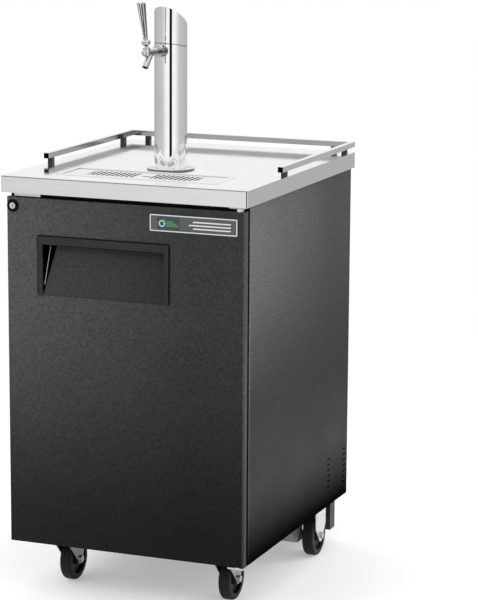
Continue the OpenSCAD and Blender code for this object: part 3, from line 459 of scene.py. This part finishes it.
def trim_frame(name, x0, x1, z0, z1):
    """moulded black surround: fine grain, with painted shadow along its outer edges and along the lower edge
    of its top bar
    """
    t = Tree(name)
    x, _, z = t.axes()
    fine = t.noise(900.0, 3.0)
    broad = t.noise(14.0, 3.0)
    far = t.math("ABSOLUTE", t.math("SUBTRACT", x, (x0 + x1) / 2))
    edge = t.math("MAXIMUM", t.span(far, (x1 - x0) / 2 - 0.0022, (x1 - x0) / 2 - 0.0012, 0.0, 1.0),
                  t.span(z, z1 - 0.0026, z1 - 0.0014, 0.0, 1.0))
    inner = t.both(t.near(z, z0, 0.0011), t.span(far, (x1 - x0) / 2 - 0.013, (x1 - x0) / 2 - 0.012, 1.0, 0.0))
    tone = t.mix(t.math("ADD", t.math("MULTIPLY", broad, 0.5), t.math("MULTIPLY", fine, 0.5)),
                 (0.008, 0.008, 0.009), (0.024, 0.024, 0.025))
    t.color(t.mix(t.math("MAXIMUM", edge, inner), tone, (0.0015, 0.0015, 0.0015)))
    t.link(t.math("SUBTRACT", 0.30, t.math("MULTIPLY", t.math("MAXIMUM", edge, inner), 0.28)),
           t.p.inputs["Specular IOR Level"])
    t.rough(t.span(broad, 0.3, 0.7, 0.30, 0.42))
    t.bump(fine, 0.25, 0.0001)
    return t.mat


def wheel_rubber(name, y0, z0, tread, side, hub):
    """wheel: scuffed tread, smoother side wall, moulded core, by distance from the axle"""
    t = Tree(name)
    _, y, z = t.axes()
    r = t.radius(y, y0, z, z0)
    scuff = t.noise(1.0, 4.0, 0.6, at=t.scaled((400, 90, 90)))
    fine = t.noise(700.0, 3.0)
    rubber = t.mix(t.span(scuff, 0.35, 0.7, 0.0, 1.0), tread, [c * 1.9 for c in tread])
    wall = t.mix(t.noise(45.0, 3.0), side, [c * 0.78 for c in side])
    core = t.mix(t.noise(30.0, 3.0), hub, [c * 0.8 for c in hub])
    c = t.mix(t.span(r, 0.0462, 0.0472, 0.0, 1.0), wall, rubber)
    c = t.mix(t.span(r, 0.0365, 0.0372, 0.0, 1.0), core, c)
    t.color(c)
    t.rough(t.math("ADD", t.span(r, 0.036, 0.048, 0.40, 0.62), t.span(scuff, 0.3, 0.7, -0.05, 0.08)))
    t.bump(t.math("ADD", fine, scuff), 0.25, 0.0002)
    t.put(Specular_IOR_Level=0.22)
    return t.mat


def lock_face(name, x0, z0, edge, dark, bright, keyhole=False):
    """turned metal face with a dark collar outside the edge, and a keyhole painted dark as painted shade of
    its hollow
    """
    t = Tree(name)
    x, y, z = t.axes()
    r = t.radius(x, x0, z, z0)
    spin = t.noise(1.0, 2.0, at=t.scaled((900, 30, 900)))
    base = t.mix(t.span(r, edge - 0.0003, edge + 0.0003, 0.0, 1.0),
                 t.mix(spin, [c * 0.85 for c in bright], bright), dark)
    if keyhole:
        # painted shade: the keyhole is a dark painted slot, not a hole
        cut = t.both(t.near(x, x0, 0.0011), t.near(z, z0, 0.0042))
        base = t.mix(cut, base, 0.01)
    t.color(base)
    t.rough(t.span(spin, 0.3, 0.7, 0.16, 0.30))
    t.put(Metallic=1.0)
    t.bump(spin, 0.1, 0.00005)
    return t.mat


# painted sheen of the pocket: the door's painted sheen, made darker
def pocket_painted_sheen(t):
    return t.math("MULTIPLY", door_painted_sheen(t), 0.80)


def pocket_vinyl(name):
    """the hand pocket: door vinyl with a darker painted sheen, side walls painted black as painted shade, a
    painted shadow on the slope by the left wall, and a fine painted highlight line along the left wall's edge
    """
    mat = vinyl(name, pocket_painted_sheen, 0.003, 0.036, (0.08, 0.5))
    t = Tree.__new__(Tree)
    t.mat, t.nt = mat, mat.node_tree
    t.p = t.nt.nodes["Principled BSDF"]
    t.tc = t.nt.nodes.new("ShaderNodeTexCoord").outputs["Object"]
    x, _, z = t.axes()
    fx, _, _ = t.facing()
    # painted shade: faces turned to the sides, the pocket's side walls, are painted black
    wall = t.span(t.math("ABSOLUTE", fx), 0.6, 0.8, 0.0, 1.0)
    off = t.math("ADD", x, 0.2035)
    rise = t.math("SUBTRACT", z, 0.720)
    # painted shadow: a dark wedge on the slope beside the left wall, widening upwards
    shadow = t.span(t.math("SUBTRACT", off, t.math("MULTIPLY", rise, 0.225)), -0.001, 0.0005, 1.0, 0.0)
    dark = t.math("MAXIMUM", wall, shadow)
    # painted highlight: a fine bright line beside the left wall, from a little above the pocket's foot
    line = t.both(t.near(t.math("SUBTRACT", off, t.math("MULTIPLY", rise, 0.075)), 0.0, 0.0007),
                  t.span(z, 0.742, 0.748, 0.0, 1.0))
    was = t.p.inputs["Base Color"].links[0].from_socket
    t.color(t.mix(dark, was, t.mix(line, (0.001, 0.001, 0.001), (0.70, 0.70, 0.70))))
    level = t.p.inputs["Specular IOR Level"].links[0].from_socket
    # the specular level drops where the painted shade is
    t.link(t.math("MULTIPLY", level, t.math("SUBTRACT", 1.0, dark)), t.p.inputs["Specular IOR Level"])
    return mat


SPOUT = (0.085 - 0.301 * math.cos(math.radians(42)), 1.270 - 0.301 * math.sin(math.radians(42)), 0.301)
# painted reflections: tones of the studio's dark and bright bands by facing, for the chrome castings and the
# handle's flutes
REFLECTION_BANDS = [(-1.0, 0.25), (-0.8, 0.70), (-0.55, 0.78), (-0.35, 0.50), (0.0, 0.62), (0.25, 0.80), (0.5, 0.62),
         (0.75, 0.35), (0.9, 0.12), (1.0, 0.5)]
FLUTE_REFLECTIONS = [(-1.0, 0.5), (-0.8, 0.85), (-0.62, 0.06), (-0.42, 0.05), (-0.30, 0.75), (-0.10, 0.80), (0.05, 0.10),
          (0.28, 0.06), (0.45, 0.80), (0.65, 0.75), (0.85, 0.30), (1.0, 0.6)]
MATS = {
    "vinyl_door": vinyl("vinyl_door", door_painted_sheen, 0.004, 0.046, (0.06, 0.6)),
    "vinyl_pocket": pocket_vinyl("vinyl_pocket"),
    "vinyl_body": vinyl("vinyl_body", body_painted_sheen, 0.003, 0.140, (0.0, 0.30), (0.36, 0.50), 0.4),
    "steel_top": brushed("steel_top", 0.88, (0.05, 0.09), "X", 0.05, shade=worktop_painted_edge_shade),
    "steel_tray": brushed("steel_tray", 0.84, (0.05, 0.10), "X", 0.06, fine=1.3, shade=pan_painted_shade),
    "steel_grid": brushed("steel_grid", 0.80, (0.05, 0.10), "X", 0.06, fine=1.3, shade=grid_painted_shade),
    "flange": brushed("flange", 0.78, (0.05, 0.09), "X", 0.06, shade=flange_painted_shade),
    "steel_rail": brushed("steel_rail", 0.88, (0.08, 0.14), "Y", 0.06, shade=rail_painted_reflection),
    "steel_leg": brushed("steel_leg", 0.05, (0.12, 0.22), "Z"),
    "chrome": polished("chrome", 0.93, 0.03),
    "chrome_tower": tower_chrome("chrome_tower", 1.2795, math.radians(11)),
    "chrome_tap": cast_chrome("chrome_tap", REFLECTION_BANDS),
    "chrome_body": cast_chrome("chrome_body", REFLECTION_BANDS, bore=True),
    "chrome_handle": cast_chrome("chrome_handle", FLUTE_REFLECTIONS),
    "chrome_trim": polished("chrome_trim", 0.90, 0.10),
    "zinc": galvanised("zinc", 0.36, (0.2, 0.35), 160.0, dark=0.3),
    "zinc_bright": galvanised("zinc_bright", 0.72, (0.22, 0.36)),
    "zinc_dark": galvanised("zinc_dark", 0.20, (0.3, 0.5)),
    "bolt": brushed("bolt", 0.52, (0.25, 0.4), "X"),
    "black_paint": enamel("black_paint", (0.010, 0.010, 0.010), (0.022, 0.022, 0.022), dust=0.5),
    "black_cover": enamel("black_cover", (0.010, 0.010, 0.011), (0.020, 0.020, 0.021), (0.4, 0.55)),
    "pan_steel": galvanised("pan_steel", 0.32, (0.40, 0.55)),
    "trim_black": trim_frame("trim_black", -0.216, 0.112, 0.8375, 0.859),
    "plastic_white": moulded("plastic_white", (0.74, 0.74, 0.72), (0.84, 0.84, 0.82), (0.32, 0.45)),
    "plastic_black": moulded("plastic_black", (0.014, 0.014, 0.015), (0.028, 0.028, 0.029)),
    "gasket": moulded("gasket", (0.006, 0.006, 0.006), (0.014, 0.014, 0.014), (0.5, 0.65), spec=0.2),
    "liner": stucco("liner", 0.80, -0.3203),
    "door_liner": stucco("door_liner", 0.80),
    "foam": foam("foam"),
    "board": board("board"),
    "panel_grey": moulded("panel_grey", (0.060, 0.062, 0.064), (0.120, 0.124, 0.126), (0.30, 0.42), 260.0,
                          spec=0.3),
    "coil": galvanised("coil", 0.70, (0.25, 0.4), 300.0),
    "barrel": lock_face("barrel", -0.278, 0.923, 0.0072, (0.012, 0.012, 0.013), (0.75, 0.75, 0.76)),
    "plug": lock_face("plug", -0.278, 0.923, 0.02, (0.02, 0.02, 0.021), (0.88, 0.88, 0.89), keyhole=True),
    "glass_teal": moulded("glass_teal", (0.020, 0.045, 0.060), (0.030, 0.062, 0.080), (0.12, 0.22)),
    "ring_blue": moulded("ring_blue", (0.34, 0.52, 0.60), (0.46, 0.64, 0.72), (0.25, 0.35)),
    "bar_green": moulded("bar_green", (0.05, 0.22, 0.02), (0.10, 0.34, 0.04), (0.3, 0.4)),
    "strip_bright": polished("strip_bright", 0.92, 0.14),
}
for s, n in ((-1, "left"), (1, "right")):
    MATS["tyre_front_" + n] = wheel_rubber("tyre_front_" + n, -0.197, 0.051, (0.004, 0.004, 0.004),
                                           (0.006, 0.006, 0.006), (0.014, 0.014, 0.014))
    MATS["tyre_rear_" + n] = wheel_rubber("tyre_rear_" + n, 0.212, 0.051, (0.005, 0.005, 0.005),
                                          (0.012, 0.012, 0.012), (0.030, 0.030, 0.030))

FINISH = {
    "cabinet_shell": "vinyl_body", "base_frame": "zinc_dark", "insulation": "foam", "liner": "liner",
    "countertop": "steel_top", "counter_core": "board", "drip_pan": "steel_tray",
    "drip_grid": "steel_grid", "gallery_rail": "steel_rail", "rail_legs": "steel_leg",
    "tower_flange": "flange", "tower_screws": "chrome_trim", "tower_column": "chrome_tower",
    "tower_cap": "chrome_tower", "tap_shank": "chrome_tap", "coupling_nut": "chrome_tap",
    "faucet_body": "chrome_body", "faucet_bonnet": "chrome_tap", "tap_shaft": "chrome_tap",
    "tap_lever": "chrome_tap", "lever_ferrule": "chrome_tap", "tap_handle": "chrome_handle",
    "door_skin": "vinyl_door", "door_liner": "door_liner", "door_foam": "foam", "door_gasket": "gasket",
    "door_bushes": "plastic_white", "hinge_brackets": "bolt", "handle_trim": "trim_black",
    "handle_pocket": "vinyl_pocket", "badge_frame": "chrome_trim", "badge_panel": "panel_grey",
    "lock_barrel": "barrel", "lock_plug": "plug", "lock_keeper": "zinc_bright",
    "base_pan": "pan_steel", "rear_cover": "black_cover", "cord_gland": "gasket",
    "gas_port_sleeve": "plastic_white", "compressor": "black_paint", "condenser": "black_paint",
    "fan_motor": "zinc_dark", "condenser_fan": "plastic_black", "evaporator_housing": "plastic_white",
    "evaporator_coil": "coil", "evaporator_fan": "plastic_black", "thermostat_knob": "plastic_black",
    "front_caster_plates": "zinc", "front_fork_left": "zinc", "front_fork_right": "zinc",
    "front_axle_left": "bolt", "front_axle_right": "bolt", "brake_pedal_left": "zinc_bright",
    "brake_pedal_right": "zinc_bright", "wheel_front_left": "tyre_front_left",
    "wheel_front_right": "tyre_front_right", "rear_forks": "zinc_bright", "rear_axles": "bolt",
    "wheel_rear_left": "tyre_rear_left", "wheel_rear_right": "tyre_rear_right",
}
for node, obj in NODES.items():
    obj.data.materials.clear()
    obj.data.materials.append(MATS[FINISH[node]])


# ---------------------------------------------------------------- badge pieces
def prism(name, outline, front, back, bevel, finish, hole=None):
    """flat piece facing -Y from an outline in X and Z, its front edge bevelled; hole is an
    inner outline with as many points"""
    me = bpy.data.meshes.new(name)
    bm = bmesh.new()

    def ring(points, y, inset):
        cx = sum(p[0] for p in points) / len(points)
        cz = sum(p[1] for p in points) / len(points)
        out = []
        for px, pz in points:
            d = math.hypot(px - cx, pz - cz)
            k = (d - inset) / d
            out.append(bm.verts.new((cx + (px - cx) * k, y, cz + (pz - cz) * k)))
        return out

    def skirt(a, b):
        for i in range(len(a)):
            j = (i + 1) % len(a)
            bm.faces.new((a[i], a[j], b[j], b[i]))

    o0, o1, o2 = ring(outline, back, 0), ring(outline, front + bevel, 0), ring(outline, front, bevel)
    skirt(o0, o1)
    skirt(o1, o2)
    if hole:
        i0, i1, i2 = ring(hole, back, 0), ring(hole, front + bevel, 0), ring(hole, front, -bevel)
        skirt(i1, i0)
        skirt(i2, i1)
        skirt(o2, i2)
        skirt(i0, o0)
    else:
        bm.faces.new(o2)
        bm.faces.new(list(reversed(o0)))
    bmesh.ops.recalc_face_normals(bm, faces=bm.faces)
    bm.to_mesh(me)
    bm.free()
    ob = bpy.data.objects.new(name, me)
    scene.collection.objects.link(ob)
    me.materials.append(MATS[finish])
    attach(ob, "door")
    return ob


def rounded(x0, x1, z0, z1, r, steps=5):
    pts = []
    for cx, cz, a in ((x1 - r, z1 - r, 0), (x0 + r, z1 - r, 90), (x0 + r, z0 + r, 180), (x1 - r, z0 + r, 270)):
        for i in range(steps + 1):
            w = math.radians(a + 90 * i / steps)
            pts.append((cx + r * math.cos(w), cz + r * math.sin(w)))
    return pts


def circle(cx, cz, r, n=40):
    return [(cx + r * math.cos(2 * math.pi * i / n), cz + r * math.sin(2 * math.pi * i / n)) for i in range(n)]


def make_badge():
    """a temperature window with a dial ring and a level display, and plain pin-stripes beside it"""
    face = -0.3515
    lens = prism("display_window", rounded(0.083, 0.137, 0.8915, 0.9215, 0.002), face - 0.0004, face, 0.0002,
                 "glass_teal")
    dial = prism("display_ring", circle(0.0945, 0.9060, 0.0078), face - 0.0008, face - 0.0003, 0.0003,
                 "ring_blue", hole=circle(0.0945, 0.9060, 0.0048))
    rows = [(0.9105, 0.1040, 0.1225), (0.9060, 0.1040, 0.1300), (0.9015, 0.1040, 0.1340)]
    for i, (z, x0, x1) in enumerate(rows):
        prism("display_bar_%d" % i, rounded(x0, x1, z - 0.0014, z + 0.0014, 0.0006),
                            face - 0.0007, face - 0.0003, 0.0002, "bar_green")
    prism("display_mark", rounded(0.0985, 0.1020, 0.9135, 0.9170, 0.0008), face - 0.0007,
                        face - 0.0003, 0.0002, "bar_green")
    stripes = [(0.9135, 0.168, 0.262), (0.9060, 0.158, 0.262), (0.8985, 0.168, 0.262)]
    for i, (z, x0, x1) in enumerate(stripes):
        ends = [(x0, z - 0.0016), (x1 - 0.003, z - 0.0016), (x1, z + 0.0016), (x0 + 0.003, z + 0.0016)]
        prism("pin_stripe_%d" % i, ends, face - 0.0009, face, 0.0003, "strip_bright")


# ---------------------------------------------------------------- stage
def floor_material():
    t = Tree("floor_paper")
    x, y, _ = t.axes()
    r = t.radius(x, 0.0, y, 0.0)
    speck = t.noise(90.0, 3.0)
    t.color(t.mix(speck, 0.80, 0.84))
    t.put(Roughness=0.9, Specular_IOR_Level=0.1, Emission_Color=(1, 1, 1, 1), Emission_Strength=0.30)
    clear = t.nt.nodes.new("ShaderNodeBsdfTransparent")
    mix = t.nt.nodes.new("ShaderNodeMixShader")
    t.link(t.span(r, 0.75, 2.3, 0.0, 1.0, smooth=True), mix.inputs[0])
    t.link(t.p.outputs[0], mix.inputs[1])
    t.link(clear.outputs[0], mix.inputs[2])
    t.link(mix.outputs[0], t.out.inputs[0])
    return t.mat


def make_floor():
    me = bpy.data.meshes.new("floor")
    bm = bmesh.new()
    bmesh.ops.create_circle(bm, cap_ends=True, segments=96, radius=2.5)
    bm.to_mesh(me)
    bm.free()
    ob = bpy.data.objects.new("floor", me)
    scene.collection.objects.link(ob)
    me.materials.append(floor_material())


# brightness round the studio, by angle from the direction towards the camera: a grey room that
# darkens to the back, a bright card on each side of the camera and a dark gap where it stands
STUDIO = [(-180, 0.4), (-60, 0.6), (-30, 1.0), (-10, 1.0), (-7, 0.0), (7, 0.0), (10, 1.0), (30, 1.0),
          (60, 0.6), (180, 0.4)]


def make_world():
    w = bpy.data.worlds.new("studio")
    scene.world = w
    w.use_nodes = True
    nt = w.node_tree
    nt.nodes.clear()
    new = nt.nodes.new
    link = nt.links.new
    tc = new("ShaderNodeTexCoord").outputs["Generated"]
    flat_v = Vector((EYE.x, EYE.y, 0)).normalized()
    flat_r = Vector((-flat_v.y, flat_v.x, 0))

    def dot(v):
        n = new("ShaderNodeVectorMath")
        n.operation = "DOT_PRODUCT"
        link(tc, n.inputs[0])
        n.inputs[1].default_value = v
        return n.outputs["Value"]

    turn = new("ShaderNodeMath")
    turn.operation = "ARCTAN2"
    link(dot(flat_r), turn.inputs[0])
    link(dot(flat_v), turn.inputs[1])
    pos = new("ShaderNodeMapRange")
    link(turn.outputs[0], pos.inputs["Value"])
    pos.inputs["From Min"].default_value = -math.pi
    pos.inputs["From Max"].default_value = math.pi
    ramp = new("ShaderNodeValToRGB")
    link(pos.outputs["Result"], ramp.inputs[0])
    e = ramp.color_ramp.elements
    while len(e) > 1:
        e.remove(e[-1])
    for i, (deg, v) in enumerate(STUDIO):
        at = (deg + 180) / 360.0
        el = e[0] if i == 0 else e.new(at)
        el.position = at
        el.color = (v, v, v, 1)
    height = new("ShaderNodeMapRange")
    height.interpolation_type = "SMOOTHSTEP"
    link(dot((0, 0, 1)), height.inputs["Value"])
    height.inputs["From Min"].default_value = 0.0
    height.inputs["From Max"].default_value = 0.05
    top = new("ShaderNodeMix")
    top.data_type = "RGBA"
    link(height.outputs["Result"], top.inputs[0])
    link(ramp.outputs[0], top.inputs[6])
    top.inputs[7].default_value = (0.95, 0.95, 0.95, 1)
    lit = new("ShaderNodeBackground")
    link(top.outputs[2], lit.inputs[0])
    lit.inputs[1].default_value = 1.0
    plain = new("ShaderNodeBackground")
    plain.inputs[0].default_value = (1, 1, 1, 1)
    plain.inputs[1].default_value = 1.0
    path = new("ShaderNodeLightPath")
    pick = new("ShaderNodeMixShader")
    link(path.outputs["Is Camera Ray"], pick.inputs[0])
    link(lit.outputs[0], pick.inputs[1])
    link(plain.outputs[0], pick.inputs[2])
    out = new("ShaderNodeOutputWorld")
    link(pick.outputs[0], out.inputs[0])


def area(name, at, aim, size, power, tall=None):
    d = bpy.data.lights.new(name, "AREA")
    d.shape = "RECTANGLE"
    d.size = size
    d.size_y = tall or size
    d.energy = power
    o = bpy.data.objects.new(name, d)
    scene.collection.objects.link(o)
    o.location = at
    o.rotation_mode = "QUATERNION"
    o.rotation_quaternion = (Vector(aim) - Vector(at)).to_track_quat("-Z", "Y")
    o.visible_camera = False
    o.visible_glossy = False


make_badge()
make_floor()
make_world()
area("key", (-2.1, -2.9, 2.6), (-0.1, -0.3, 0.8), 1.5, 45.0)
area("side", (2.6, 2.2, 2.0), (0.3, 0.0, 0.6), 1.4, 30.0)
scene.view_settings.view_transform = "Standard"
